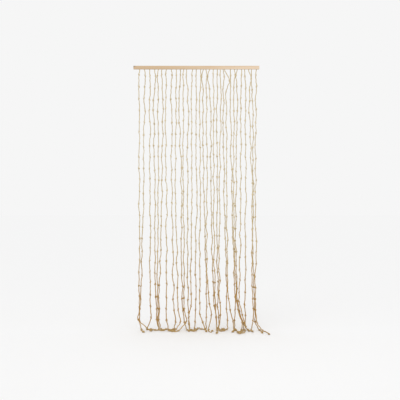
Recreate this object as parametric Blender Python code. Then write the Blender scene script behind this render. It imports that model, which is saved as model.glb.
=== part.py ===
"""Knotted door curtain: thirty-one knotted jute cords that hang from a plain wooden bar.

The cords hang free, draw together in bundles towards the floor and end in short tails that lie on it.
Metres, +Z up. The origin is the centre of the bar's back face, which lies on the wall or the door frame.
The room is on the -Y side.
"""

import math
import random

import bmesh
import bpy
import numpy as np
from mathutils import Vector

MM = 0.001

# The bar is a plain slat with eased edges
BAR_LENGTH = 900 * MM
BAR_HEIGHT = 24 * MM
BAR_DEPTH = 12 * MM
EASED_EDGE = 1 * MM
BAR_TOP_TO_FLOOR = 1893 * MM

# A groove along its underside holds the strip that the cords' heads are glued to
GROOVE_WIDTH = 6.6 * MM
GROOVE_DEPTH = 7 * MM
FIT = 0.3 * MM
STRIP_HEIGHT = 5 * MM

# The cord, as a three-sided strand that swells at each knot; a radius reaches to a corner
CORD_RADIUS = 3.1 * MM
HEAD_RADIUS = 2.6 * MM
KNOT_RADIUS = 6.8 * MM
CORNERS = 3
KNOT_PITCH = 83 * MM
FIRST_KNOT = 42 * MM
END_PAST_LAST_KNOT = 14 * MM
SHORTEST_TAIL = 24 * MM

# Hand knotting is uneven: how far a knot strays from its row, to the side and in depth
KNOT_STRAY = 9 * MM
SIDE_STRAY = 5 * MM
DEPTH_STRAY = 2.5 * MM
BOW = 3 * MM
TAIL_STRAY = 1.5 * MM

# Neighbours hang in front of and behind the bar's middle in turn, so that they can touch and cross
LANE_DEPTH = 7 * MM
APART = 0.8 * MM
PUSHES = 60
PUSH_SHARE = 0.25
NEAR = 45 * MM

BAR_LEFT = -BAR_LENGTH / 2
BAR_MIDDLE = -BAR_DEPTH / 2
BAR_UNDER = -BAR_HEIGHT / 2
FLOOR = BAR_HEIGHT / 2 - BAR_TOP_TO_FLOOR
STRIP_UNDER = BAR_UNDER + GROOVE_DEPTH - FIT - STRIP_HEIGHT

# Heights above the floor, in millimetres, at which the next table places the strands
LEVELS = {"top": 1869, "chest": 1578, "waist": 1006, "knee": 577, "shin": 291, "calf": 184}

# One row for each strand, left to right: millimetres from the bar's left end at each level
HANG_COLUMNS = ("top", "chest", "waist", "knee", "shin", "calf")
HANG = (
    (44, 44, 43, 43, 43, 41),
    (79, 79, 72, 62, 54, 48),
    (115, 118, 119, 120, 121, 122),
    (150, 144, 152, 155, 159, 166),
    (179, 175, 178, 172, 171, 174),
    (204, 209, 201, 192, 184, 181),
    (235, 230, 236, 237, 239, 237),
    (272, 270, 274, 280, 285, 285),
    (306, 307, 301, 311, 316, 320),
    (334, 328, 342, 344, 350, 351),
    (359, 356, 358, 361, 362, 361),
    (380, 392, 385, 387, 388, 393),
    (423, 415, 415, 412, 408, 410),
    (450, 448, 451, 448, 444, 443),
    (481, 472, 477, 474, 475, 473),
    (500, 495, 502, 514, 522, 523),
    (517, 523, 524, 523, 531, 547),
    (543, 550, 558, 563, 572, 580),
    (570, 574, 573, 578, 579, 590),
    (602, 594, 598, 598, 603, 601),
    (622, 623, 616, 615, 614, 616),
    (641, 643, 649, 662, 668, 666),
    (652, 666, 666, 672, 676, 688),
    (694, 693, 705, 714, 727, 732),
    (723, 720, 713, 722, 735, 738),
    (743, 741, 734, 731, 744, 745),
    (773, 767, 767, 763, 757, 752),
    (794, 804, 804, 801, 801, 799),
    (824, 829, 849, 848, 849, 859),
    (845, 854, 858, 856, 863, 865),
    (880, 873, 874, 877, 870, 872),
)

# The first knots that stand out: how far below the bar and how far aside, in millimetres
FIRST_KNOT_COLUMNS = ("strand", "drop", "aside")
FIRST_KNOTS = (
    (4, 50, 9),
    (5, 48, -7),
    (15, 52, 4),
    (16, 50, -11),
    (17, 48, 8),
    (18, 50, -13),
    (22, 50, 8),
    (23, 82, 31),
    (25, 46, 4),
    (26, 44, -10),
    (29, 70, 16),
    (30, 68, -4),
)

# Where each strand last bends in the air, meets the floor and ends, in millimetres:
# x from the bar's left end, z above the floor, front towards the room, curl aside at the tail's middle
FEET_COLUMNS = ("ankle_x", "ankle_z", "foot_x", "foot_front", "tip_x", "tip_front", "curl_x", "curl_front")
FEET = (
    (36, 80, 116, 4, 132, 34, 0, 0),
    (44, 62, 58, 2, 83, 72, -3, 0),
    (126, 94, 97, -18, 140, -14, 0, -4),
    (166, 75, 181, -8, 146, 14, 0, 4),
    (173, 76, 191, 10, 228, 18, 0, 4),
    (181, 74, 196, -16, 245, -24, 0, 0),
    (237, 76, 256, -5, 298, -28, 0, -4),
    (301, 62, 283, 4, 245, 15, 0, 4),
    (335, 62, 297, 17, 250, 34, 0, 3),
    (365, 55, 385, 2, 404, 48, 4, 0),
    (378, 66, 322, 28, 268, 50, 0, 8),
    (396, 45, 411, -6, 457, 6, 0, -4),
    (396, 96, 408, 16, 448, 42, 0, 4),
    (441, 60, 439, -26, 470, -44, 0, 0),
    (475, 119, 517, 6, 520, 56, 5, 0),
    (521, 92, 514, -20, 474, -28, 0, -4),
    (557, 112, 537, 5, 571, 44, 2, 42),
    (593, 92, 599, -14, 606, -64, 4, 0),
    (590, 100, 597, 10, 591, 108, 8, 0),
    (610, 92, 614, -8, 644, -3, 0, -3),
    (621, 112, 613, 13, 658, 27, 0, 16),
    (673, 73, 668, -14, 630, -27, 0, 0),
    (712, 68, 718, 6, 706, 66, 4, 0),
    (723, 72, 729, -10, 736, 26, 5, 0),
    (776, 62, 775, 12, 738, 68, 6, 6),
    (786, 50, 786, -8, 743, 94, 10, 12),
    (797, 38, 796, 18, 749, 118, 12, 14),
    (803, 30, 818, -4, 826, 46, 4, 0),
    (854, 70, 841, 4, 848, 60, -4, 0),
    (871, 62, 900, 4, 914, 94, 5, 0),
    (884, 56, 921, 19, 957, 136, 10, 0),
)


def finish(name, colour, roughness):
    """A plain Principled material."""
    material = bpy.data.materials.new(name)
    material.use_nodes = True
    shader = material.node_tree.nodes["Principled BSDF"]
    shader.inputs["Base Color"].default_value = (*colour, 1)
    shader.inputs["Roughness"].default_value = roughness
    shader.inputs["Metallic"].default_value = 0
    return material


def add_object(name, mesh, material=None):
    """An object for a mesh, in the scene's collection."""
    thing = bpy.data.objects.new(name, mesh)
    bpy.context.scene.collection.objects.link(thing)
    if material:
        mesh.materials.append(material)
    return thing


def box_mesh(name, low, high):
    """A box between two corners, as a bmesh."""
    shape = bmesh.new()
    bmesh.ops.create_cube(shape, size=1)
    low, high = Vector(low), Vector(high)
    bmesh.ops.scale(shape, vec=high - low, verts=shape.verts)
    bmesh.ops.translate(shape, vec=(low + high) / 2, verts=shape.verts)
    return shape


def to_mesh(shape, name):
    """A finished mesh from a bmesh."""
    mesh = bpy.data.meshes.new(name)
    shape.to_mesh(mesh)
    shape.free()
    return mesh


def make_bar():
    """The slat, its long edges eased, with a stopped groove along the underside."""
    low = (BAR_LEFT, -BAR_DEPTH, BAR_UNDER)
    high = (-BAR_LEFT, 0, -BAR_UNDER)
    shape = box_mesh("bar", low, high)
    bmesh.ops.bevel(shape, geom=shape.edges[:], offset=EASED_EDGE, segments=2, profile=0.5, affect="EDGES")
    underside = min(shape.faces, key=lambda face: face.normal.z * face.calc_area())
    wall = (BAR_DEPTH - GROOVE_WIDTH) / 2 - EASED_EDGE
    bmesh.ops.inset_region(shape, faces=[underside], thickness=wall, use_even_offset=True)
    grown = bmesh.ops.extrude_face_region(shape, geom=[underside])
    roof = [item for item in grown["geom"] if isinstance(item, bmesh.types.BMVert)]
    bmesh.ops.translate(shape, vec=(0, 0, GROOVE_DEPTH), verts=roof)
    bmesh.ops.delete(shape, geom=[underside], context="FACES_ONLY")
    bmesh.ops.recalc_face_normals(shape, faces=shape.faces[:])
    mesh = to_mesh(shape, "bar")
    return add_object("bar", mesh, finish("pale wood", (0.71, 0.54, 0.36), 0.6))


def make_strip():
    """The narrow strip in the groove, which joins the cords' heads."""
    half = GROOVE_WIDTH / 2 - FIT
    wall = (BAR_DEPTH - GROOVE_WIDTH) / 2 + FIT
    low = (BAR_LEFT + wall, BAR_MIDDLE - half, STRIP_UNDER)
    high = (-BAR_LEFT - wall, BAR_MIDDLE + half, STRIP_UNDER + STRIP_HEIGHT)
    strip = add_object("strip", to_mesh(box_mesh("strip", low, high), "strip"))
    strip.hide_render = True
    strip.display_type = "WIRE"
    return strip


def runs_between(start, end):
    """How many knot-to-knot runs fill a length."""
    return max(1, round((Vector(end) - Vector(start)).length / KNOT_PITCH))


def hanging_knots(number, ankle, dice):
    """The knots of one strand from the first below the bar down to its ankle."""
    lane = LANE_DEPTH if number % 2 else -LANE_DEPTH
    levels = [LEVELS[column] * MM for column in HANG_COLUMNS] + [ankle.z - FLOOR]
    places = [BAR_LEFT + x * MM for x in HANG[number - 1]] + [ankle.x]
    marked = {row[0]: dict(zip(FIRST_KNOT_COLUMNS, row)) for row in FIRST_KNOTS}.get(number)
    drop = marked["drop"] * MM if marked else FIRST_KNOT + dice.uniform(-KNOT_STRAY, KNOT_STRAY)
    first = BAR_UNDER - FLOOR - drop
    count = round((first - levels[-1]) / KNOT_PITCH)
    knots = []
    for turn in range(count):
        height = first + (levels[-1] - first) * turn / count
        aside = dice.uniform(-SIDE_STRAY, SIDE_STRAY)
        deep = dice.uniform(-DEPTH_STRAY, DEPTH_STRAY)
        if turn == 0 and marked:
            aside = marked["aside"] * MM
        elif turn:
            height += dice.uniform(-KNOT_STRAY, KNOT_STRAY)
        x = np.interp(height, levels[::-1], places[::-1])
        knots.append(Vector((x + aside, BAR_MIDDLE - lane + deep, FLOOR + height)))
    return knots


def strand_rings(number, dice):
    """Centres, radii and floor marks of one strand's rings, from the strip to the last knot."""
    foot_row = dict(zip(FEET_COLUMNS, (value * MM for value in FEET[number - 1])))
    lane = LANE_DEPTH if number % 2 else -LANE_DEPTH
    head = Vector((BAR_LEFT + HANG[number - 1][0] * MM, BAR_MIDDLE, BAR_UNDER))
    ankle = Vector((BAR_LEFT + foot_row["ankle_x"], BAR_MIDDLE - lane, FLOOR + foot_row["ankle_z"]))
    foot = Vector((BAR_LEFT + foot_row["foot_x"], BAR_MIDDLE - foot_row["foot_front"], FLOOR))
    tip = Vector((BAR_LEFT + foot_row["tip_x"], BAR_MIDDLE - foot_row["tip_front"], FLOOR))
    tail = (tip - foot).length
    last = foot.lerp(tip, max(SHORTEST_TAIL, tail - END_PAST_LAST_KNOT) / tail)
    curl = Vector((foot_row["curl_x"], -foot_row["curl_front"], 0))
    in_strip = Vector((head.x, head.y, STRIP_UNDER + STRIP_HEIGHT / 2))
    rings = [(in_strip, HEAD_RADIUS, False), (head, HEAD_RADIUS, False)]

    def add_run(start, end, on_floor, bow):
        rings.append(((start + end) / 2 + bow, CORD_RADIUS, on_floor))
        rings.append((end, KNOT_RADIUS, on_floor))

    knots = hanging_knots(number, ankle, dice)
    rings.append((knots[0], KNOT_RADIUS, False))
    for start, end in zip(knots, knots[1:] + [ankle]):
        add_run(start, end, False, Vector((dice.uniform(-BOW, BOW), dice.uniform(-BOW, BOW), 0)))
    steps = runs_between(ankle, foot)
    for step in range(steps):
        low = ankle.lerp(foot, (step + 1) / steps)
        add_run(ankle.lerp(foot, step / steps), low, False, Vector((0, 0, 0)))
    rings[-1] = (foot, KNOT_RADIUS, True)
    steps = runs_between(foot, last)

    def on_tail(share):
        return foot.lerp(last, share) + curl * math.sin(math.pi * share)

    for step in range(2 * steps):
        share = (step + 1) / (2 * steps)
        aside = Vector((dice.uniform(-TAIL_STRAY, TAIL_STRAY), dice.uniform(-TAIL_STRAY, TAIL_STRAY), 0))
        radius = KNOT_RADIUS if step % 2 else CORD_RADIUS
        rings.append((on_tail(share) + aside, radius, True))
    return rings


def nearest_shares(start_a, way_a, start_b, way_b):
    """How far along two sets of segments their nearest points lie, as shares from 0 to 1."""
    gap = start_a - start_b
    aa = (way_a * way_a).sum(axis=1)
    bb = (way_b * way_b).sum(axis=1)
    ab = (way_a * way_b).sum(axis=1)
    ag = (way_a * gap).sum(axis=1)
    bg = (way_b * gap).sum(axis=1)
    square = np.maximum(aa * bb - ab * ab, 1e-12)
    share_a = np.clip((ab * bg - bb * ag) / square, 0, 1)
    share_b = np.clip((ab * share_a + bg) / bb, 0, 1)
    share_a = np.clip((ab * share_b - ag) / aa, 0, 1)
    return share_a, share_b


def keep_apart(strands):
    """Pushes rings of neighbouring strands sideways until the strands clear each other."""
    points = np.array([ring[0][:] for rings in strands for ring in rings])
    radii = np.array([ring[1] for rings in strands for ring in rings])
    owner = np.array([index for index, rings in enumerate(strands) for _ in rings])
    first = np.flatnonzero(owner[:-1] == owner[1:])
    held = points[:, 2] > BAR_UNDER - MM
    middle = (points[first] + points[first + 1]) / 2
    near = np.abs(middle[:, None] - middle[None]).max(axis=2) < NEAR
    near &= owner[first][:, None] < owner[first][None]
    a, b = (first[side] for side in np.nonzero(near))
    for _ in range(PUSHES):
        way_a, way_b = points[a + 1] - points[a], points[b + 1] - points[b]
        share_a, share_b = nearest_shares(points[a], way_a, points[b], way_b)
        apart = points[a] + share_a[:, None] * way_a - points[b] - share_b[:, None] * way_b
        wide_a = radii[a] * (1 - share_a) + radii[a + 1] * share_a
        wide_b = radii[b] * (1 - share_b) + radii[b + 1] * share_b
        short = wide_a + wide_b + APART - np.linalg.norm(apart, axis=1)
        close = short > 0
        if not close.any():
            break
        apart[:, 2] = 0
        apart /= np.maximum(np.linalg.norm(apart, axis=1), 1e-9)[:, None]
        push = apart[close] * (short[close] * PUSH_SHARE)[:, None]
        shift = np.zeros_like(points)
        for ends, share, way in ((a, share_a, 1), (b, share_b, -1)):
            np.add.at(shift, ends[close], way * push * (1 - share[close])[:, None])
            np.add.at(shift, ends[close] + 1, way * push * share[close][:, None])
        shift[held] = 0
        points += shift
    moved = iter(points)
    return [[(Vector(next(moved)), radius, floor) for _, radius, floor in rings] for rings in strands]


def ring_corners(centre, way, radius, floor, before):
    """The corners of one ring, numbered so that the strand doesn't twist from the ring before."""
    towards = Vector((0, 0, 1)) if floor else Vector((0, 1, 0))
    side = way.cross(towards).normalized()
    up = side.cross(way).normalized()
    turns = [2 * math.pi * corner / CORNERS for corner in range(CORNERS)]
    corners = [centre + (up * math.cos(turn) + side * math.sin(turn)) * radius for turn in turns]
    if floor:
        lift = Vector((0, 0, FLOOR - min(corner.z for corner in corners)))
        corners = [corner + lift for corner in corners]
    if before:
        last_centre = sum(before, Vector()) / CORNERS
        new_centre = sum(corners, Vector()) / CORNERS

        def twist(shift):
            pairs = zip(before, corners[shift:] + corners[:shift])
            return sum(((old - last_centre) - (new - new_centre)).length for old, new in pairs)

        shift = min(range(CORNERS), key=twist)
        corners = corners[shift:] + corners[:shift]
    return corners


def add_strand(shape, rings):
    """One closed strand: its rings skinned in turn, a flat head in the strip and a pointed end."""
    centres = [ring[0] for ring in rings]
    ends = (centres[-1] - centres[-2]).normalized()
    before = None
    loops = []
    for index, (centre, radius, floor) in enumerate(rings):
        arriving = (centre - centres[index - 1]).normalized() if index else Vector((0, 0, -1))
        leaving = (centres[index + 1] - centre).normalized() if index + 1 < len(rings) else ends
        before = ring_corners(centre, (arriving + leaving).normalized(), radius, floor, before)
        loops.append([shape.verts.new(corner) for corner in before])
    shape.faces.new(loops[0])
    for upper, lower in zip(loops, loops[1:]):
        for corner in range(CORNERS):
            following = (corner + 1) % CORNERS
            shape.faces.new((upper[corner], lower[corner], lower[following], upper[following]))
    last = sum((vertex.co for vertex in loops[-1]), Vector()) / CORNERS
    point = shape.verts.new(last + ends * END_PAST_LAST_KNOT)
    for corner in range(CORNERS):
        shape.faces.new((loops[-1][corner], point, loops[-1][(corner + 1) % CORNERS]))


def make_strands(strip):
    """All the strands, fused at their heads into the strip in the bar's groove."""
    dice = random.Random(7)
    strands = keep_apart([strand_rings(number + 1, dice) for number in range(len(HANG))])
    shape = bmesh.new()
    for rings in strands:
        add_strand(shape, rings)
    bmesh.ops.recalc_face_normals(shape, faces=shape.faces[:])
    mesh = to_mesh(shape, "strands")
    thing = add_object("strands", mesh, finish("jute cord", (0.45, 0.30, 0.16), 0.9))
    union = thing.modifiers.new("heads in the strip", "BOOLEAN")
    union.operation = "UNION"
    union.object = strip
    return thing


def main():
    for thing in list(bpy.data.objects):
        bpy.data.objects.remove(thing, do_unlink=True)
    make_bar()
    make_strands(make_strip())


main()
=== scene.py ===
# %% [markdown]
# # A knotted door curtain
# Thirty-one jute cords hang from a plain slat of pale wood. Each cord has a hand-tied knot about every
# eight centimetres, neighbours lean together in loose bundles near the ground, and the ends lie on the
# floor. The construction already exists as a fixed model with the right sizes, so this lesson starts by
# loading that model. It then dresses the model: real twisted cord, real knots, and wood with a grain.

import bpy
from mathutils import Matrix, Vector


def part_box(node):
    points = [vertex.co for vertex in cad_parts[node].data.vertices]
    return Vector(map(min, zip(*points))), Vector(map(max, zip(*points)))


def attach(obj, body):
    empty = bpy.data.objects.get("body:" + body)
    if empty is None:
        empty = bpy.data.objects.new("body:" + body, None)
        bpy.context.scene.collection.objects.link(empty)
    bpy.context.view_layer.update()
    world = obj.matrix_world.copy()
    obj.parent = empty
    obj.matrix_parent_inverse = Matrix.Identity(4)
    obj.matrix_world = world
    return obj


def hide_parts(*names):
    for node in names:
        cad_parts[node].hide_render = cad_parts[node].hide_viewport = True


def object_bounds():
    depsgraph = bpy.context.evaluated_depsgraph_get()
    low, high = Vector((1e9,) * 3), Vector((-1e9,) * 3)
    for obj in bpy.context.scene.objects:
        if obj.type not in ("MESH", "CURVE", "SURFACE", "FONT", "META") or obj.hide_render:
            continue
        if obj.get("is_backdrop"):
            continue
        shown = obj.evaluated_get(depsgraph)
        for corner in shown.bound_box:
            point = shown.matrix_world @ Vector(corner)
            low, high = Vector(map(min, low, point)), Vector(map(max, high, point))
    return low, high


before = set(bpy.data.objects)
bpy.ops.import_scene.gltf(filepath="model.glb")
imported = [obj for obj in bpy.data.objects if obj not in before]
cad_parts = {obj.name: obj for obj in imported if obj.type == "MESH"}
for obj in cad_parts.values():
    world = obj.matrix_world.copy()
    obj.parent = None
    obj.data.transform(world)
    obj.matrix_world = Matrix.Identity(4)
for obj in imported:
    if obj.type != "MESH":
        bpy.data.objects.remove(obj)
model_box = [list(corner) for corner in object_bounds()]
print("model box, lowest and highest corner:", model_box)

# %% Tools
import math

import bmesh
import bpy
import numpy as np
from mathutils import Vector
from mathutils.kdtree import KDTree

MM = 0.001
bar_low, bar_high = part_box("bar")
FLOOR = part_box("strands")[0].z
BAR_UNDER = bar_low.z
print(f"the bar's top is {(bar_high.z - FLOOR) / MM:.0f} mm above the floor")
print(f"the bar is {(bar_high.x - bar_low.x) / MM:.0f} mm long")

# %% [markdown]
# ## The camera
# The curtain is seen straight on, from a little under half its height, so the bar and the floor are both
# level in the picture. A camera could be aimed with a constraint, but a level one needs only a place, a
# quarter turn and a lens.

# %% Camera
CAMERA_ASIDE = 26 * MM
CAMERA_AWAY = 4009 * MM
CAMERA_HEIGHT = 934 * MM
LENS = 50.36
SENSOR_WIDTH = 36

camera = bpy.data.objects.new("camera", bpy.data.cameras.new("camera"))
camera.data.lens = LENS
camera.data.sensor_width = SENSOR_WIDTH
camera.location = (CAMERA_ASIDE, -CAMERA_AWAY, FLOOR + CAMERA_HEIGHT)
camera.rotation_euler = (math.radians(90), 0, 0)
bpy.context.scene.collection.objects.link(camera)
bpy.context.scene.camera = camera
print("camera at", [round(value, 3) for value in camera.location])

# %% [markdown]
# ## Node maths as Python
# Materials are node trees, and a sum that takes one line on paper takes many lines of linking. This small
# class wraps one socket. Its operators add the Math, Vector Math or Mix node that a sum needs, and its
# method `add` makes any other node: the settings are set first, and then the sockets get values or links.

# %% A socket that can be used in sums
class Wire:
    """A socket of a material's nodes. Sums that are written with it become nodes."""

    def __init__(self, tree, socket=None):
        self.tree = tree
        self.socket = socket

    def add(self, kind, settings=None, sockets=None, give=0):
        """Adds a node of one kind and returns one of its outputs."""
        node = self.tree.nodes.new(kind)
        for name, value in (settings or {}).items():
            setattr(node, name, value)
        for name, value in (sockets or {}).items():
            if isinstance(value, Wire):
                self.tree.links.new(value.socket, node.inputs[name])
            else:
                node.inputs[name].default_value = value
        return Wire(self.tree, node.outputs[give])

    def sum(self, operation, first, second):
        """Mix for colours, Vector Math for places and Math for plain values."""
        kinds = {side.socket.type for side in (first, second) if isinstance(side, Wire)}
        if "RGBA" in kinds:
            first = first if isinstance(first, Wire) else colour_of(first)
            second = second if isinstance(second, Wire) else colour_of(second)
            settings = {"data_type": "RGBA", "blend_type": operation}
            return self.add("ShaderNodeMix", settings, {0: 1.0, 6: first, 7: second}, 2)
        if "VECTOR" in kinds:
            first = first if isinstance(first, Wire) else place_of(first)
            second = second if isinstance(second, Wire) else place_of(second)
            return self.add("ShaderNodeVectorMath", {"operation": operation}, {0: first, 1: second})
        return self.add("ShaderNodeMath", {"operation": operation}, {0: first, 1: second})

    def __add__(self, other):
        return self.sum("ADD", self, other)

    def __radd__(self, other):
        return self.sum("ADD", other, self)

    def __sub__(self, other):
        return self.sum("SUBTRACT", self, other)

    def __rsub__(self, other):
        return self.sum("SUBTRACT", other, self)

    def __mul__(self, other):
        return self.sum("MULTIPLY", self, other)

    def __rmul__(self, other):
        return self.sum("MULTIPLY", other, self)

    def towards(self, other, share):
        """This colour, mixed towards another one by a share from 0 to 1."""
        second = other if isinstance(other, Wire) else colour_of(other)
        return self.add("ShaderNodeMix", {"data_type": "RGBA"}, {0: share, 6: self, 7: second}, 2)

    def between(self, low, high):
        """How far a value lies from low to high, eased at both ends and held between 0 and 1."""
        sockets = {"Value": self, "From Min": low, "From Max": high}
        return self.add("ShaderNodeMapRange", {"interpolation_type": "SMOOTHSTEP"}, sockets)

    def noise(self, scale, detail=3.0, rough=0.55):
        """Cloudy values around a half, from a place."""
        sockets = {"Vector": self, "Scale": scale, "Detail": detail, "Roughness": rough}
        return self.add("ShaderNodeTexNoise", None, sockets, "Fac")


def colour_of(value):
    """A number as a grey, or three numbers as a colour."""
    parts = (value,) * 3 if isinstance(value, (int, float)) else tuple(value)
    return (*parts[:3], 1.0)


def place_of(value):
    """A number as a vector of three equal parts."""
    return (value,) * 3 if isinstance(value, (int, float)) else tuple(value)


def screen(red, green, blue):
    """A colour that is given as it shows on a screen, from 0 to 255, as light for the shader."""
    shares = (part / 255 for part in (red, green, blue))
    return tuple(part / 12.92 if part < 0.04045 else ((part + 0.055) / 1.055) ** 2.4 for part in shares)


def new_finish(name):
    """A new material with its Principled shader, and a wire to start its nodes from."""
    material = bpy.data.materials.new(name)
    material.use_nodes = True
    return material, material.node_tree.nodes["Principled BSDF"], Wire(material.node_tree)


def wear(shader, **finish):
    """Feeds a shader's sockets, named with underscores, from wires or plain values."""
    for name, value in finish.items():
        socket = shader.inputs[name.replace("_", " ")]
        if isinstance(value, Wire):
            value.tree.links.new(value.socket, socket)
        else:
            socket.default_value = value


print("screen white in light:", [round(part, 3) for part in screen(246, 246, 246)])

# %% [markdown]
# ## Floor and light
# The background is one even pale tone, and shadows are hardly there. A pale world gives that soft light
# from all around. A broad sun adds a little direction, and a soft lamp near the bar makes the upper cords
# paler than the lower ones. The floor's own shade is chosen so that it shows as the same tone as the world.

# %% Studio
PALE = screen(246, 246, 246)[0]
FLOOR_SIZE = 60
FLOOR_SHADE = 0.875
SUN_STRENGTH = 0.55
SUN_PLACE = (-1.5, -3.0, 2.5)
SUN_AIM = (0, 0, -0.9)
SUN_WIDTH = math.radians(50)
LAMP_POWER = 5
LAMP_SIZE = 1.2
LAMP_PLACE = (0.3, -1.8, 0.3)
LAMP_AIM = (0.05, 0, -0.3)

bpy.context.scene.view_settings.view_transform = "Standard"
world = bpy.data.worlds.new("studio")
world.use_nodes = True
world.node_tree.nodes["Background"].inputs["Color"].default_value = colour_of(PALE)
bpy.context.scene.world = world


def make_floor():
    """A wide plain floor under the cords' ends."""
    material, shader, _ = new_finish("pale floor")
    wear(shader, Base_Color=colour_of(FLOOR_SHADE), Roughness=1.0, Specular_IOR_Level=0.0)
    half = FLOOR_SIZE / 2
    mesh = bpy.data.meshes.new("floor")
    corners = [(-half, -half, FLOOR), (half, -half, FLOOR), (half, half, FLOOR), (-half, half, FLOOR)]
    mesh.from_pydata(corners, [], [(0, 1, 2, 3)])
    mesh.materials.append(material)
    floor = bpy.data.objects.new("floor", mesh)
    bpy.context.scene.collection.objects.link(floor)
    floor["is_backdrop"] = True


def make_light(name, kind, place, aim, **settings):
    """A lamp of one kind that looks at a point."""
    lamp = bpy.data.lights.new(name, kind)
    for setting, value in settings.items():
        setattr(lamp, setting, value)
    holder = bpy.data.objects.new(name, lamp)
    holder.location = place
    holder.rotation_euler = (Vector(aim) - Vector(place)).to_track_quat("-Z", "Y").to_euler()
    bpy.context.scene.collection.objects.link(holder)


make_floor()
make_light("soft sun", "SUN", SUN_PLACE, SUN_AIM, energy=SUN_STRENGTH, angle=SUN_WIDTH)
make_light("lamp by the bar", "AREA", LAMP_PLACE, LAMP_AIM, energy=LAMP_POWER, size=LAMP_SIZE)
print("floor and lights are set")

# %% [markdown]
# ## Where the cords run
# In the fixed model each cord is a plain three-sided strand: a row of rings, wide ones where a knot sits
# and slim ones between. The detailed cords have to follow exactly the same routes. Instead of copying long
# lists of points, this step walks each strand from its pointed end up to the bar, ring by ring, and keeps
# every ring's centre and reach. A ring is a set, which has no fixed order, so its corners are sorted before
# they are added up. Without that, two runs would differ in their last digits.

# %% Reading the strands
CORNERS = 3
WELD = 0.02 * MM
HEAD_TILT = 1 * MM
TIPS_BELOW = BAR_UNDER - 1
KNOT_REACH = 4.2 * MM


def ring_walk(tip):
    """Centres and reaches of one strand's rings, from the bar down to its end."""
    seen = {tip}
    ring = {edge.other_vert(tip) for edge in tip.link_edges}
    rings = []
    while len(ring) == CORNERS and max(corner.co.z for corner in ring) < BAR_UNDER + HEAD_TILT:
        places = [Vector(place) for place in sorted(corner.co[:] for corner in ring)]
        centre = sum(places, Vector()) / CORNERS
        rings.append((centre, max((place - centre).length for place in places)))
        seen |= ring
        ring = {edge.other_vert(corner) for corner in ring for edge in corner.link_edges} - seen
    return rings[::-1]


def read_strands():
    """All the strands' rings, from the left of the bar to the right."""
    shape = bmesh.new()
    shape.from_mesh(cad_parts["strands"].data)
    bmesh.ops.remove_doubles(shape, verts=shape.verts, dist=WELD)
    tips = [vert for vert in shape.verts if len(vert.link_edges) == CORNERS and vert.co.z < TIPS_BELOW]
    strands = sorted((ring_walk(tip) for tip in tips), key=lambda rings: rings[0][0].x)
    shape.free()
    return strands


strands = read_strands()
knot_total = sum(reach > KNOT_REACH for rings in strands for _, reach in rings)
print(len(strands), "strands with", knot_total, "knots,", sum(map(len, strands)), "rings")

# %% [markdown]
# ## One knot, pulled tight
# The knots are plain overhand knots. Drawing one by hand is hard, because every turn has to lie against
# its neighbour without passing through it. A real knot finds its own shape, and so can this one: it starts
# as a wide loose loop from a short formula, its ends swing to the cord's line and are drawn in, and slack
# is taken out while any two turns that come closer than one cord's width are pushed apart.

# %% Tying
LOOP_SPAN = 2.3
LOOP_POINTS = 400
SLACK_ROUNDS = 1400
SWING_ROUNDS = 300
DRAW_ROUNDS = 500
LOOSE_POINTS = 72
KNOT_POINTS = 29
HALF_KNOT = 1.75
SWING_OUT = 1.6
LENGTH_PASSES = 3
OTHER_TURN = 1.5
PUSH_SHARE = 0.3
TOUCHING = 0.985
TAKE_UP = 0.9965
GIVE_BACK = 1.0004
STIFFNESS = 0.12


def evenly(line, count):
    """The same line with a number of evenly spaced points."""
    along = np.r_[0, np.cumsum(np.linalg.norm(np.diff(line, axis=0), axis=1))]
    places = np.linspace(0, along[-1], count)
    return np.stack([np.interp(places, along, line[:, axis]) for axis in range(3)], axis=1)


def keep_length(line, step, ends):
    """Moves points until neighbours are a step apart, with the two ends held."""
    for _ in range(LENGTH_PASSES):
        way = np.diff(line, axis=0)
        length = np.linalg.norm(way, axis=1)[:, None]
        fix = way * (length - step) / length / 2
        line[:-1] += fix
        line[1:] -= fix
        line[[0, -1]] = ends


def tie_knot():
    """The centre line of a tight overhand knot along +Z, measured in widths of its cord."""
    turn = np.linspace(-LOOP_SPAN, LOOP_SPAN, LOOP_POINTS)
    across = turn ** 4 - 4 * turn ** 2 + 2
    loose = np.stack([across, (turn ** 5 - 10 * turn) / 5, turn ** 3 - 3 * turn], axis=1)
    line = evenly(loose, LOOSE_POINTS)
    step = np.linalg.norm(np.diff(line, axis=0), axis=1).mean()
    first_ends = line[[0, -1]].copy()
    swung = first_ends * (0, 0, SWING_OUT)
    drawn = np.array([(0, 0, -HALF_KNOT), (0, 0, HALF_KNOT)])
    one, other = np.triu_indices(LOOSE_POINTS, 1)
    for count in range(SLACK_ROUNDS):
        swing = min(1, count / SWING_ROUNDS)
        draw = min(1, max(0, count - SWING_ROUNDS) / DRAW_ROUNDS)
        ends = (first_ends * (1 - swing) + swung * swing) * (1 - draw) + drawn * draw
        keep_length(line, step, ends)
        gap = line[one] - line[other]
        apart = np.linalg.norm(gap, axis=1)
        far = (other - one) * step > OTHER_TURN
        close = far & (apart < 1)
        push = gap[close] * ((1 - apart[close]) / apart[close] * PUSH_SHARE)[:, None]
        np.add.at(line, one[close], push)
        np.add.at(line, other[close], -push)
        line[1:-1] += ((line[2:] + line[:-2]) / 2 - line[1:-1]) * STIFFNESS
        if count > SWING_ROUNDS:
            tight = count > SWING_ROUNDS + DRAW_ROUNDS and apart[far].min() < TOUCHING
            step *= GIVE_BACK if tight else TAKE_UP
    line[[0, -1]] = drawn
    return evenly(line, KNOT_POINTS)


knot_line = tie_knot()
knot_spans = np.ptp(knot_line, axis=0) + 1
print("knot size in cord widths:", np.round(knot_spans, 2))

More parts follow.
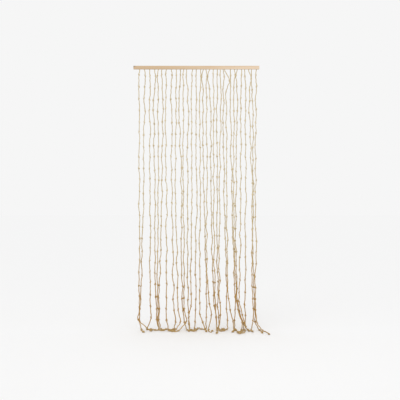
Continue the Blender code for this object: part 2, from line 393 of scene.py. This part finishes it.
# %% [markdown]
# ## The runs between knots
# Between two knots the cord runs in one smooth sweep, through the slim ring half way. A smooth curve could
# be left to a Bezier object, but its knots have to be spliced in at exact places. So the sweep is worked
# out here as a cubic between two points with known directions. Jute that carries weight is drawn thin, so
# the cord is slim for most of its drop and opens up near its end.

# %% Runs
TOP_RADIUS = 2.85 * MM
LOW_RADIUS = 3.5 * MM
OPENING = 4
RUN_STEP = 2.8 * MM
TOP_WAVE = 1.7 * MM
LOW_WAVE = 0.5 * MM
WAVE_LENGTH = (35 * MM, 80 * MM)
SLUB = 0.07
SLUB_LENGTH = 14 * MM


def sweep_between(start, start_way, end, end_way, dice):
    """Points of a smooth run, without its last one, a little uneven between its ends."""
    length = np.linalg.norm(end - start)
    count = max(2, math.ceil(length / RUN_STEP))
    share = (np.arange(count) / count)[:, None]
    square, cube = share ** 2, share ** 3
    line = (2 * cube - 3 * square + 1) * start + (3 * square - 2 * cube) * end
    line += ((cube - 2 * square + share) * start_way + (cube - square) * end_way) * length
    waves = share * length / dice.uniform(*WAVE_LENGTH, 3) + dice.uniform(0, 1, 3)
    wave = LOW_WAVE + (TOP_WAVE - LOW_WAVE) * (line[:, 2:] - FLOOR) / (BAR_UNDER - FLOOR)
    return line + wave * np.sin(2 * np.pi * waves) * np.sin(np.pi * share)


def opened(height, above, below):
    """A radius at a height: one size above, which opens up to another at the bottom."""
    depth = (BAR_UNDER - height) / (BAR_UNDER - FLOOR)
    return above + (below - above) * depth ** OPENING


def cord_radius(line, in_knot, tight, dice):
    """The radius at each point, uneven along the runs and tight in the knots, and the length so far."""
    along = np.r_[0, np.cumsum(np.linalg.norm(np.diff(line, axis=0), axis=1))]
    marks = np.arange(0, along[-1] + SLUB_LENGTH, SLUB_LENGTH)
    slubs = np.interp(along, marks, dice.normal(0, SLUB, len(marks)))
    free = opened(line[:, 2], TOP_RADIUS, LOW_RADIUS) * (1 + slubs)
    return free * (1 - in_knot) + tight * in_knot, along


print("cord thickness above and at the floor in mm:", 2 * TOP_RADIUS / MM, 2 * LOW_RADIUS / MM)

# %% [markdown]
# ## Knots beside neighbours
# In a knot the cord is squeezed hardest, and no two knots were pulled alike. Each knot is turned at random
# round its cord. Copies that all face one way would be simpler, but the eye finds such a pattern at once.
# Where another cord is close, the knot is turned on until it lies beside that cord, or nearly so.

# %% Knots in place
TOP_KNOT_RADIUS = 2.3 * MM
LOW_KNOT_RADIUS = 2.55 * MM
KNOT_SIZES = (0.9, 1.1)
NEIGHBOUR = 20 * MM
TURNS_TRIED = 16
LANE_STEP = 4 * MM
ACROSS_ALL_CORDS = (0.0, 1.0, 0.3)


def knot_at(centre, way, others, dice):
    """A tied knot's points and the radius of its cord, turned to where its neighbours leave it room."""
    aside = np.cross(way, ACROSS_ALL_CORDS)
    aside /= np.linalg.norm(aside)
    other = np.cross(way, aside)
    first = dice.uniform(0, 2 * math.pi)
    radius = opened(centre[2], TOP_KNOT_RADIUS, LOW_KNOT_RADIUS) * dice.uniform(*KNOT_SIZES)
    near = others[np.linalg.norm(others - centre, axis=1) < NEIGHBOUR]
    best = None
    most = -1.0
    for turn in first + np.arange(TURNS_TRIED) * 2 * math.pi / TURNS_TRIED:
        across = aside * math.cos(turn) + other * math.sin(turn)
        points = centre + knot_line * 2 * radius @ np.stack([across, np.cross(way, across), way])
        apart = np.linalg.norm(points[:, None] - near[None], axis=2)
        room = apart.min(initial=NEIGHBOUR) - radius - LOW_RADIUS
        if room > most or best is None:
            best, most = points, room
        if room > 0:
            break
    return best, radius


def lane_points(strands):
    """Points along the middle of every strand, and the number of the strand that each is on."""
    lanes = []
    owners = []
    for number, rings in enumerate(strands):
        line = np.array([centre[:] for centre, _ in rings])
        count = int(np.linalg.norm(np.diff(line, axis=0), axis=1).sum() / LANE_STEP)
        lanes.append(evenly(line, count))
        owners.append(np.full(count, number))
    return np.concatenate(lanes), np.concatenate(owners)


lanes, owners = lane_points(strands)
print(len(lanes), "points along the strands tell the knots where their neighbours are")

# %% [markdown]
# ## A cord's whole route
# Now runs and knots are joined end to end, from the head in the strip to the loose end. Each knot has the
# direction of the rings around it, and each run leaves one knot and enters the next in that direction. On
# the floor a knot lies higher than a run, and neither sinks into it.

# %% Route
FLOOR_KNOT_UP = 5.9 * MM
STEEPEST_ON_FLOOR = -0.35
KNOT_EASE = 0.2
HEAD_IN_STRIP = 2.5 * MM
LOOSE_END = 3 * MM
END_POINTS = 4


def cord_route(rings, others, dice):
    """One cord's centre line with its knots, its radius, the length so far and where it is knotted."""
    centres = np.array([centre[:] for centre, _ in rings])
    knotted = [reach > KNOT_REACH for _, reach in rings]
    low = FLOOR + LOW_RADIUS
    centres[:, 2] = np.maximum(centres[:, 2], [FLOOR + FLOOR_KNOT_UP if knot else low for knot in knotted])
    squeeze = np.clip((1 - np.abs(np.linspace(-1, 1, KNOT_POINTS))) / KNOT_EASE, 0, 1)
    here = centres[0] + (0, 0, HEAD_IN_STRIP)
    here_way = np.array((0.0, 0.0, -1.0))
    pieces = []
    squeezed = []
    tight = []
    for index in range(1, len(centres)):
        following = centres[min(index + 1, len(centres) - 1)]
        way = following - centres[index - 1]
        way /= np.linalg.norm(way)
        if centres[index][2] < FLOOR + FLOOR_KNOT_UP + MM:
            way[2] = max(way[2], STEEPEST_ON_FLOOR)
            way /= np.linalg.norm(way)
        knot = None
        if knotted[index]:
            knot, radius = knot_at(centres[index], way, others, dice)
        there = centres[index] if knot is None else knot[0]
        run = sweep_between(here, here_way, there, way, dice)
        pieces.append(run)
        squeezed.append(np.zeros(len(run)))
        tight.append(np.zeros(len(run)))
        if knot is not None:
            pieces.append(knot[:-1])
            squeezed.append(squeeze[:-1])
            tight.append(np.full(len(knot) - 1, radius))
        here, here_way = (there if knot is None else knot[-1]), way
    end = here + here_way * LOOSE_END
    pieces.append(np.linspace(here, end, END_POINTS))
    squeezed.append(np.zeros(END_POINTS))
    tight.append(np.zeros(END_POINTS))
    line = np.concatenate(pieces)
    in_knot = np.concatenate(squeezed)
    radius, along = cord_radius(line, in_knot, np.concatenate(tight), dice)
    line[:, 2] = np.maximum(line[:, 2], FLOOR + radius)
    return line, radius, along, in_knot


dice = np.random.default_rng(11)
routes = []
for number, rings in enumerate(strands):
    tied = [line[in_knot > 0.5] for line, _, _, in_knot in routes]
    others = np.concatenate([lanes[owners != number], *tied])
    routes.append(cord_route(rings, others, dice))
lengths = [along[-1] for _, _, along, _ in routes]
print(f"cords are {min(lengths):.2f} to {max(lengths):.2f} m long with the knots' turns in them")
print("points in all:", sum(len(line) for line, _, _, _ in routes))

# %% [markdown]
# ## Cords that cross on the floor
# Near the floor the cords cross, and a smooth sweep can cut a corner through a neighbour there. Real cords
# lie on each other. A physics simulation would settle them, but it would also move everything else. So the
# worst place of each two cords is found, and both are nudged apart. What lies close to it moves as one
# piece, which keeps a knot's shape, what lies further off moves less, and nothing is pushed down.

# %% Room on the floor
CROSSING_BELOW = FLOOR + 130 * MM
CLEAR = 0.3 * MM
MEETING_REACH = 3 * LOW_RADIUS
NUDGE_ROUNDS = 40
NUDGE_CORE = 12 * MM
NUDGE_REACH = 45 * MM


def meetings(routes):
    """The worst place of each two cords that come too close: what is missing there, and both points."""
    low = [(number, spot) for number, route in enumerate(routes)
           for spot in np.flatnonzero(route[0][:, 2] < CROSSING_BELOW)]
    tree = KDTree(len(low))
    for index, (number, spot) in enumerate(low):
        tree.insert(routes[number][0][spot], index)
    tree.balance()
    worst = {}
    for number, spot in low:
        line, radius = routes[number][:2]
        for _, index, apart in tree.find_range(line[spot], MEETING_REACH):
            other, other_spot = low[index]
            missing = radius[spot] + routes[other][1][other_spot] + CLEAR - apart
            if other > number and missing > worst.get((number, other), (0,))[0]:
                worst[number, other] = (missing, spot, other_spot)
    return worst


def nudge(line, spot, way):
    """Moves a stretch of a cord: all that lies close by, and less and less further away."""
    away = np.linalg.norm(line - line[spot], axis=1)
    share = np.clip((NUDGE_REACH - away) / (NUDGE_REACH - NUDGE_CORE), 0, 1)
    line += np.maximum(way, (-1, -1, 0)) * (share ** 2 * (3 - 2 * share))[:, None]


for _ in range(NUDGE_ROUNDS):
    worst = meetings(routes)
    for (number, other), (missing, spot, other_spot) in worst.items():
        one_line, other_line = routes[number][0], routes[other][0]
        way = one_line[spot] - other_line[other_spot]
        way *= missing / 2 / np.linalg.norm(way)
        nudge(one_line, spot, way)
        nudge(other_line, other_spot, -way)
print("cords that still run into each other:", len(meetings(routes)))

# %% [markdown]
# ## Three plies, twisted
# The cord is three plies of jute laid round each other. Three separate tubes would cross their faces at
# every turn, so the cord is one skin instead: its section has three rounded lobes, and the section turns
# as it goes down the line, which gives the plies. A curve object could twist its bevel too, but it can't
# hand the fibres' direction to the finish, so the skin is swept with numpy.

# %% Sweeping a skin
PLIES = 3
PLY_SHAPE = ((-27, 1.0), (27, 1.0), (60, 0.66))
LAY_LENGTH = 29 * MM
FIBRE_LEAN = 0.35
COLUMNS = [(120 * ply + degrees, reach) for ply in range(PLIES) for degrees, reach in PLY_SHAPE]


def directions(line):
    """Forward and two sideways directions at each point, which turn as little as they can."""
    ahead = np.gradient(line, axis=0)
    ahead /= np.linalg.norm(ahead, axis=1)[:, None]
    aside = np.empty_like(line)
    start = np.cross(ahead[0], ACROSS_ALL_CORDS)
    aside[0] = start / np.linalg.norm(start)
    for index in range(1, len(line)):
        turned = aside[index - 1] - ahead[index] * (aside[index - 1] @ ahead[index])
        aside[index] = turned / np.linalg.norm(turned)
    return ahead, aside, np.cross(ahead, aside)


def quads_between(rings, columns):
    """Corner numbers of the faces between rings that follow each other."""
    ring = (np.arange(rings - 1) * columns)[:, None]
    column = np.arange(columns)[None]
    after = (column + 1) % columns
    corners = (ring + column, ring + after, ring + columns + after, ring + columns + column)
    return np.stack(corners, axis=-1).reshape(-1, 4)


def ply_skin(line, radius, along, start_turn):
    """Points of a twisted three-ply skin, with its fibre direction and how far out each point lies."""
    ahead, aside, other = directions(line)
    degrees, reach = np.array(COLUMNS).T
    twist = 2 * math.pi * along / LAY_LENGTH + start_turn
    turn = np.radians(degrees)[None] + twist[:, None]
    out = np.cos(turn)[..., None] * aside[:, None] + np.sin(turn)[..., None] * other[:, None]
    points = line[:, None] + out * (radius[:, None] * reach[None])[..., None]
    lean = turn + FIBRE_LEAN * twist[:, None]
    fibres = np.stack([np.cos(lean), np.sin(lean), np.repeat(along[:, None], len(reach), axis=1)], axis=-1)
    crest = np.repeat(((reach - reach.min()) / np.ptp(reach))[None], len(line), axis=0)
    return points, fibres, crest, out


print(len(COLUMNS), "columns round the cord, one turn every", LAY_LENGTH / MM, "mm")

# %% [markdown]
# ## Loose fibres and frayed ends
# Jute is never clean: short fibres stand out all along it, and past its last knot each cord opens into a
# small brush. Hair particles would do this too, but they would have to be turned into mesh afterwards. So
# each fibre is a slim three-sided spike, bent once. Many of them are built at once as arrays.

# %% Fibres
FIBRE_SPACING = 7 * MM
FIBRE_LENGTH = (2.0 * MM, 5.5 * MM)
FIBRE_RADIUS = 0.11 * MM
FIBRE_ROOT = 0.7
FIBRE_FORWARD = (0.3, 1.6)
FIBRE_BEND = (0.0, 0.6)
FIBRE_STRAY = 0.2
BRUSH_FIBRES = 44
BRUSH_LENGTH = (5 * MM, 11 * MM)
BRUSH_RADIUS = 0.3 * MM
BRUSH_ROOT = 0.6
BRUSH_SPREAD = 0.16
BRUSH_BEND = 0.12
BRUSH_SAG = (0, 0, -0.1)
BRUSH_SIDE = (0.3, 0.2, 1.0)
BEND_AT = (0.0, 0.55)
TAPER = 0.6


def spikes(root, out, along_way, length, radius, bend):
    """Points of three-sided spikes: a few small rings and a tip for each."""
    sideways = np.cross(out, along_way)
    turns = np.radians((0, 120, 240))
    rings = []
    for share in BEND_AT:
        centre = root + (out * share + bend * share ** 2) * length[:, None]
        width = radius * (1 - TAPER * share)
        for turn in turns:
            rim = sideways * math.cos(turn) + along_way * math.sin(turn)
            rings.append(centre + rim * width)
    rings.append(root + (out + bend) * length[:, None])
    return np.stack(rings, axis=1)


def spike_faces(count):
    """Corner numbers of spikes' faces: a root cap, sides and a pointed tip."""
    one = [(2, 1, 0)]
    last = 3 * (len(BEND_AT) - 1)
    for ring in range(0, last, 3):
        for corner in range(3):
            after = (corner + 1) % 3
            one.append((ring + corner, ring + after, ring + 3 + after))
            one.append((ring + corner, ring + 3 + after, ring + 3 + corner))
    one += [(last + corner, last + (corner + 1) % 3, last + 3) for corner in range(3)]
    faces = np.array(one)[None] + (last + 4) * np.arange(count)[:, None, None]
    return faces.reshape(-1, 3)


def unit(vectors):
    """Vectors made one long."""
    return vectors / np.linalg.norm(vectors, axis=-1, keepdims=True)


def loose_fibres(line, radius, along, out, dice):
    """Short fibres that stand out along a cord."""
    count = int(along[-1] / FIBRE_SPACING)
    ring = np.searchsorted(along, dice.uniform(0, along[-1] - LOOSE_END, count)).clip(1, len(line) - 2)
    column = dice.integers(0, out.shape[1], count)
    away = out[ring, column]
    forward = unit(line[ring + 1] - line[ring - 1]) * dice.choice((-1, 1), (count, 1))
    root = line[ring] + away * (radius[ring] * FIBRE_ROOT)[:, None]
    lean = unit(away + forward * dice.uniform(*FIBRE_FORWARD, (count, 1)))
    bend = forward * dice.uniform(*FIBRE_BEND, (count, 1)) + dice.normal(0, FIBRE_STRAY, (count, 3))
    length = dice.uniform(*FIBRE_LENGTH, count)
    return spikes(root, lean, unit(np.cross(lean, away) + 1e-6), length, FIBRE_RADIUS, bend)


def brush(line, radius, dice):
    """The open end of a cord: fibres that spread out of its last rings."""
    end_way = unit(line[-1] - line[-2])
    spread = dice.normal(0, 1, (BRUSH_FIBRES, 3))
    spread -= (spread @ end_way)[:, None] * end_way
    root = line[-2] + unit(spread) * radius[-1] * BRUSH_ROOT * dice.uniform(0, 1, (BRUSH_FIBRES, 1)) ** 0.5
    lean = unit(end_way + spread * BRUSH_SPREAD)
    length = dice.uniform(*BRUSH_LENGTH, BRUSH_FIBRES)
    bend = spread * BRUSH_BEND + BRUSH_SAG
    side = unit(np.cross(lean, BRUSH_SIDE))
    return spikes(root, lean, side, length, BRUSH_RADIUS, bend)


print("a brush has", BRUSH_FIBRES, "fibres")

# %% [markdown]
# ## The jute
# Jute is a dull golden straw colour. Its fibres run nearly along the cord, paler and darker side by side,
# the grooves between the plies are painted darker, as shade and dust, and no two lengths of it are quite
# the same. The middle of the drop gets painted light that fades into painted shade near the bar, the knots
# get a painted highlight, and towards the floor the cords get a deeper, darker gold as painted shade. All
# of that is worked out from values that the skin carries with it, such as where each point lies in the
# fibres and how far out of the groove it is. A picture would stretch in the knots.

# %% Jute finish
JUTE = screen(215, 196, 148)
PALE_JUTE = screen(240, 226, 192)
DARK_JUTE = screen(140, 102, 50)
PALE_PATCH_AND_LIT_JUTE = screen(232, 223, 198)
SHADED_GOLDEN_JUTE = screen(192, 141, 46)
GOLD_SHADE_BELOW = FLOOR + 0.15
GOLD_SHADE_FROM = FLOOR + 0.9
PAINTED_LIGHT_FROM = FLOOR + 0.8
PAINTED_LIGHT_MOST = FLOOR + 1.2
SHADED_FROM = FLOOR + 1.4
SHADED_MOST = FLOOR + 1.75
TAIL_BELOW = FLOOR + 0.02
TAIL_ABOVE = FLOOR + 0.09
STREAK_GRAIN = (9.0, 9.0, 60.0)
FINE_GRAIN = (26.0, 26.0, 150.0)
PATCH_GRAIN = (9.0, 9.0, 5.0)


def jute_finish(name):
    """Jute with streaks, painted shade in its grooves, painted light above and painted shade below."""
    material, shader, start = new_finish(name)
    fibres = start.add("ShaderNodeAttribute", {"attribute_name": "fibres"}, give="Vector")
    crest = start.add("ShaderNodeAttribute", {"attribute_name": "crest"}, give="Fac")
    knot = start.add("ShaderNodeAttribute", {"attribute_name": "knot"}, give="Fac")
    place = start.add("ShaderNodeTexCoord", give="Object")
    height = start.add("ShaderNodeSeparateXYZ", None, {"Vector": place}, "Z")
    streaks = (fibres * STREAK_GRAIN).noise(1.0, 4.0, 0.65)
    fine = (fibres * FINE_GRAIN).noise(1.0, 2.0, 0.5)
    patches = (place * PATCH_GRAIN).noise(1.0, 2.0, 0.5)
    colour = start.add("ShaderNodeRGB")
    colour.socket.default_value = colour_of(JUTE)
    # Painted light on the middle of the drop, which fades out in painted shade near the bar. The pale
    # patches mixed in with it are the jute's own uneven tone.
    lit = height.between(PAINTED_LIGHT_FROM, PAINTED_LIGHT_MOST) * height.between(SHADED_MOST, SHADED_FROM)
    colour = colour.towards(PALE_PATCH_AND_LIT_JUTE, lit * 0.4 + patches.between(0.45, 0.75) * 0.3)
    # Painted shade: the cords turn a deeper, darker gold towards the floor, a little less so on the tails
    # that lie on it.
    gold_shade = height.between(GOLD_SHADE_FROM, GOLD_SHADE_BELOW)
    tail = height.between(TAIL_ABOVE, TAIL_BELOW)
    colour = colour.towards(SHADED_GOLDEN_JUTE, gold_shade * (0.9 - tail * 0.35))
    # Painted highlight on the knots, weaker where the painted shade near the floor is.
    colour = colour.towards(PALE_JUTE, knot * (0.8 - gold_shade * 0.72))
    colour = colour.towards(PALE_JUTE, streaks.between(0.5, 0.72) * (0.8 - gold_shade * 0.35))
    colour = colour.towards(DARK_JUTE, streaks.between(0.48, 0.28) * 0.75)
    # Painted shade in the grooves between the plies, together with some dust.
    colour = colour.towards(DARK_JUTE, (1 - crest) * 0.5)
    colour = colour.towards(PALE_JUTE, fine.between(0.6, 0.8) * 0.5)
    relief = streaks * 0.6 + fine * 0.4
    bump = start.add("ShaderNodeBump", None, {"Strength": 0.7, "Distance": 0.35 * MM, "Height": relief})
    wear(shader, Base_Color=colour, Roughness=0.82 + 0.14 * fine, Normal=bump, Specular_IOR_Level=0.25)
    return material


jute = jute_finish("jute cord")
print("jute has", len(jute.node_tree.nodes), "nodes")

# %% [markdown]
# ## Building the cords
# Each cord is one mesh: its skin, its loose fibres and its brush. The skin also gets a flat map, so that
# the finish can be painted on it for other programs: the long strip of faces is cut into shorter strips
# that lie side by side, and the fibres share a narrow band at the edge.

# %% Cord meshes
MAP_NAME = "OFBake"
MAP_STRIPS = 14
MAP_MARGIN = 0.06
SKIN_SHARE = 0.96
BAND_MARGIN = 0.2
SPIKE_TALL = 0.4
CAP_SPOT = 0.004
HAIR_UP = 0.1 * MM
HAIR_SHADE_STEP = 0.1


def strip_map(rings, columns):
    """Map places of the faces between rings, as strips that lie side by side."""
    per_strip = math.ceil((rings - 1) / MAP_STRIPS)
    ring, column = np.divmod(np.arange((rings - 1) * columns), columns)
    strip = ring // per_strip
    across = column[:, None] + np.array((0, 1, 1, 0))
    down = (ring - strip * per_strip)[:, None] + np.array((0, 0, 1, 1))
    inside = MAP_MARGIN + (1 - 2 * MAP_MARGIN) * across / columns
    u = (strip[:, None] + inside) / MAP_STRIPS * SKIN_SHARE
    return np.stack([u, down / per_strip], axis=-1)


def spike_map(count):
    """Map places of spikes' faces, in a narrow band."""
    down = (np.arange(count) + 0.5) / count
    tall = SPIKE_TALL / count
    corners = np.array([(0.0, -1.0), (1.0, -1.0), (0.5, 1.0)])
    faces = len(spike_faces(1))
    u = SKIN_SHARE + (1 - SKIN_SHARE) * (BAND_MARGIN + (1 - 2 * BAND_MARGIN) * corners[:, 0])
    cells = np.stack([np.broadcast_to(u, (count, 3)), down[:, None] + tall * corners[:, 1]], axis=-1)
    return np.repeat(cells, faces, axis=0)


def build_cord(number, route, dice):
    """One cord as a mesh object."""
    line, radius, along, in_knot = route
    skin, fibres, crest, out = ply_skin(line, radius, along, dice.uniform(0, 2 * math.pi))
    rings, columns = crest.shape
    hairs = np.concatenate([loose_fibres(line, radius, along, out, dice), brush(line, radius, dice)])
    hairs[..., 2] = np.maximum(hairs[..., 2], FLOOR + HAIR_UP)
    quads = quads_between(rings, columns)
    caps = [tuple(range(columns))[::-1], tuple(range((rings - 1) * columns, rings * columns))]
    spike_corners = spike_faces(len(hairs)) + rings * columns
    faces = quads.tolist() + caps + spike_corners.tolist()
    mesh = bpy.data.meshes.new(f"cord_{number:02d}")
    mesh.from_pydata(np.concatenate([skin.reshape(-1, 3), hairs.reshape(-1, 3)]).tolist(), [], faces)
    hair_count = hairs.shape[0] * hairs.shape[1]
    hair_fibres = np.stack([dice.uniform(-1, 1, hair_count), dice.uniform(-1, 1, hair_count),
                            np.full(hair_count, number * HAIR_SHADE_STEP)], axis=1)
    carry(mesh, "fibres", "FLOAT_VECTOR", "vector", np.concatenate([fibres.reshape(-1, 3), hair_fibres]))
    carry(mesh, "crest", "FLOAT", "value", np.concatenate([crest.ravel(), np.ones(hair_count)]))
    knot = np.repeat(in_knot, columns)
    carry(mesh, "knot", "FLOAT", "value", np.concatenate([knot, np.zeros(hair_count)]))
    cap_map = np.full((2 * columns, 2), (SKIN_SHARE, 0.0))
    cap_map[:, 0] += np.tile(np.linspace(0, CAP_SPOT, columns), 2)
    cap_map[:, 1] += np.tile(np.abs(np.linspace(-CAP_SPOT, CAP_SPOT, columns)), 2)
    places = np.concatenate([strip_map(rings, columns).reshape(-1, 2), cap_map,
                             spike_map(len(hairs)).reshape(-1, 2)])
    mesh.uv_layers.new(name=MAP_NAME).uv.foreach_set("vector", places.astype(np.float32).ravel())
    mesh.shade_smooth()
    mesh.materials.append(jute)
    cord = bpy.data.objects.new(f"cord_{number:02d}", mesh)
    bpy.context.scene.collection.objects.link(cord)
    return cord


def carry(mesh, name, kind, field, values):
    """Stores a value at each point of a mesh, for the finish to read."""
    layer = mesh.attributes.new(name, kind, "POINT")
    layer.data.foreach_set(field, np.asarray(values, np.float32).ravel())


cords = [build_cord(number + 1, route, dice) for number, route in enumerate(routes)]
for cord in cords:
    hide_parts("strands")
    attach(cord, "root")
triangles = sum(len(face.vertices) - 2 for cord in cords for face in cord.data.polygons)
print(len(cords), "cords with", triangles, "triangles")

# %% [markdown]
# ## The strip in the groove
# The cords' heads are glued to a narrow strip of jute tape, and the strip sits in a groove under the bar.
# Only someone who looks up from below sees it. A box would do, but tape has soft edges, so its section is
# a rounded rectangle that is swept along the groove, and it swells a little at each head.

# %% Strip
STRIP_HALF = 2.9 * MM
STRIP_UP = 1.9 * MM
STRIP_HEIGHT = 4.6 * MM
STRIP_SIDES = 12
STRIP_INSET = 4 * MM
STRIP_STEP = 3 * MM
STRIP_ROUND = 0.4
HEAD_SWELL = 0.35 * MM
SWELL_REACH = 3 * MM
THREAD = 1.2 * MM
TAPE_GRAIN = 300.0


def make_strip(heads):
    """The tape that holds the cords' heads, inside the groove."""
    x = np.arange(bar_low.x + STRIP_INSET, bar_high.x - STRIP_INSET, STRIP_STEP)
    middle = (bar_low.y + bar_high.y) / 2
    near = np.abs(x[:, None] - np.array(heads)[None]).min(axis=1)
    swell = HEAD_SWELL * np.exp(-(near / SWELL_REACH) ** 2)
    turn = 2 * math.pi * np.arange(STRIP_SIDES) / STRIP_SIDES
    wide = np.sign(np.cos(turn)) * np.abs(np.cos(turn)) ** STRIP_ROUND * STRIP_HALF
    tall = np.sign(np.sin(turn)) * np.abs(np.sin(turn)) ** STRIP_ROUND * STRIP_HEIGHT / 2
    centre = BAR_UNDER + STRIP_UP + STRIP_HEIGHT / 2
    down = np.where(tall < 0, 1, 0)[None] * swell[:, None]
    sides = np.broadcast_arrays(x[:, None], middle + wide[None], centre + tall[None] - down)
    points = np.stack(sides, axis=-1)
    faces = quads_between(len(x), STRIP_SIDES).tolist()
    last = (len(x) - 1) * STRIP_SIDES
    faces += [tuple(range(STRIP_SIDES))[::-1], tuple(range(last, last + STRIP_SIDES))]
    mesh = bpy.data.meshes.new("head_strip")
    mesh.from_pydata(points.reshape(-1, 3).tolist(), [], faces)
    mesh.shade_smooth()
    strip = bpy.data.objects.new("head_strip", mesh)
    bpy.context.scene.collection.objects.link(strip)
    return strip


def tape_finish():
    """Jute tape: a fine plain weave in the jute's own colours."""
    material, shader, start = new_finish("jute tape")
    place = start.add("ShaderNodeTexCoord", give="Object")
    weave = start.add("ShaderNodeTexChecker", None, {"Vector": place, "Scale": 1 / THREAD}, "Fac")
    cloud = place.noise(TAPE_GRAIN)
    base = start.add("ShaderNodeRGB")
    base.socket.default_value = colour_of(JUTE)
    colour = base.towards(DARK_JUTE, weave * 0.35).towards(PALE_JUTE, cloud.between(0.5, 0.8) * 0.5)
    relief = weave + cloud
    bump = start.add("ShaderNodeBump", None, {"Strength": 0.5, "Distance": 0.2 * MM, "Height": relief})
    wear(shader, Base_Color=colour, Roughness=0.9, Normal=bump, Specular_IOR_Level=0.2)
    return material


strip = make_strip([rings[0][0].x for rings in strands])
strip.data.materials.append(tape_finish())
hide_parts("strands")
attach(strip, "root")
print("strip length", round(strip.dimensions.x, 3), "m")

# %% [markdown]
# ## The bar's wood
# The bar is a planed slat of pale, slightly pink wood, with painted light that makes it lighter towards the
# right end. Its shape in the fixed model is already right, down to the eased edges, so it only needs a
# finish. Wood is grown, not painted: long streaks run its length, fine pores are short dark dashes along
# the same way, and the two sawn ends show darker end grain. At the left end, a grey mark sits on the top
# corner.

# %% Wood finish
WOOD_LEFT = screen(200, 173, 140)
LIT_WOOD_RIGHT = screen(220, 198, 172)
WOOD_STREAK = screen(190, 153, 114)
WOOD_PORE = screen(150, 114, 80)
WOOD_END = screen(186, 152, 116)
BROAD_GRAIN = (2.2, 55.0, 55.0)
LINE_GRAIN = (5.0, 420.0, 420.0)
PORE_GRAIN = (90.0, 1900.0, 1900.0)
RING_CENTRE = (0.0, 12 * MM, 26 * MM)
RING_SCALE = 110.0
RING_WOBBLE = 1.2
MARK_GREY = screen(122, 108, 90)
MARK_SIZE = 17 * MM
MARK_STRETCH = (0.7, 1.0, 1.0)


def wood_finish():
    """Pale planed wood with its grain along the bar."""
    material, shader, start = new_finish("pale wood")
    place = start.add("ShaderNodeTexCoord", give="Object")
    x = start.add("ShaderNodeSeparateXYZ", None, {"Vector": place}, "X")
    broad = (place * BROAD_GRAIN).noise(1.0, 4.0, 0.6)
    lines = (place * LINE_GRAIN).noise(1.0, 3.0, 0.6)
    pores = (place * PORE_GRAIN).noise(1.0, 1.0, 0.5)
    base = start.add("ShaderNodeRGB")
    base.socket.default_value = colour_of(WOOD_LEFT)
    # Painted light: the bar gets lighter towards its right end.
    colour = base.towards(LIT_WOOD_RIGHT, x.between(bar_low.x * 0.7, bar_high.x))
    colour = colour.towards(WOOD_STREAK, broad.between(0.5, 0.75) * 0.55)
    colour = colour.towards(WOOD_STREAK, lines.between(0.55, 0.75) * 0.5)
    colour = colour.towards(WOOD_PORE, pores.between(0.66, 0.76) * 0.45)
    normal = start.add("ShaderNodeNewGeometry", give="True Normal")
    sideways = start.add("ShaderNodeSeparateXYZ", None, {"Vector": normal}, "X")
    sawn = (sideways * sideways).between(0.6, 0.9)
    colour = colour.towards(WOOD_END, sawn * 0.8)
    settings = {"wave_type": "RINGS", "rings_direction": "X"}
    sockets = {"Vector": place + RING_CENTRE, "Scale": RING_SCALE, "Distortion": RING_WOBBLE}
    growth = start.add("ShaderNodeTexWave", settings, sockets, "Fac")
    colour = colour.towards(WOOD_PORE, sawn * growth.between(0.55, 0.95) * 0.45)
    # A soft grey mark on the top corner of the left end.
    corner = (place - (bar_low.x, bar_low.y, bar_high.z)) * MARK_STRETCH
    away = start.add("ShaderNodeVectorMath", {"operation": "LENGTH"}, {0: corner}, "Value")
    mark = away.between(MARK_SIZE, 0.0) * (0.2 + 1.5 * lines)
    colour = colour.towards(MARK_GREY, mark * 0.9)
    height = lines * 0.5 - pores.between(0.62, 0.76) * 0.5
    bump = start.add("ShaderNodeBump", None, {"Strength": 0.35, "Distance": 0.3 * MM, "Height": height})
    wear(shader, Base_Color=colour, Roughness=0.48 + 0.16 * lines, Normal=bump, Specular_IOR_Level=0.35)
    return material


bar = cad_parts["bar"]
bar.material_slots[0].material = wood_finish()
print("the bar wears", bar.material_slots[0].material.name)

# %% [markdown]
# ## Checking the size
# The dressed curtain has to stay the size of the fixed model, apart from a little fluff. So the dressed
# box is measured, and how much it grew past the model's box is printed.

# %% Sizes
dressed_box = [list(corner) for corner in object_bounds()]
growth = [round((b - a) / MM, 1) for pair in zip(model_box, dressed_box) for a, b in zip(*pair)]
print("growth of the box in mm, low corner then high:", growth)
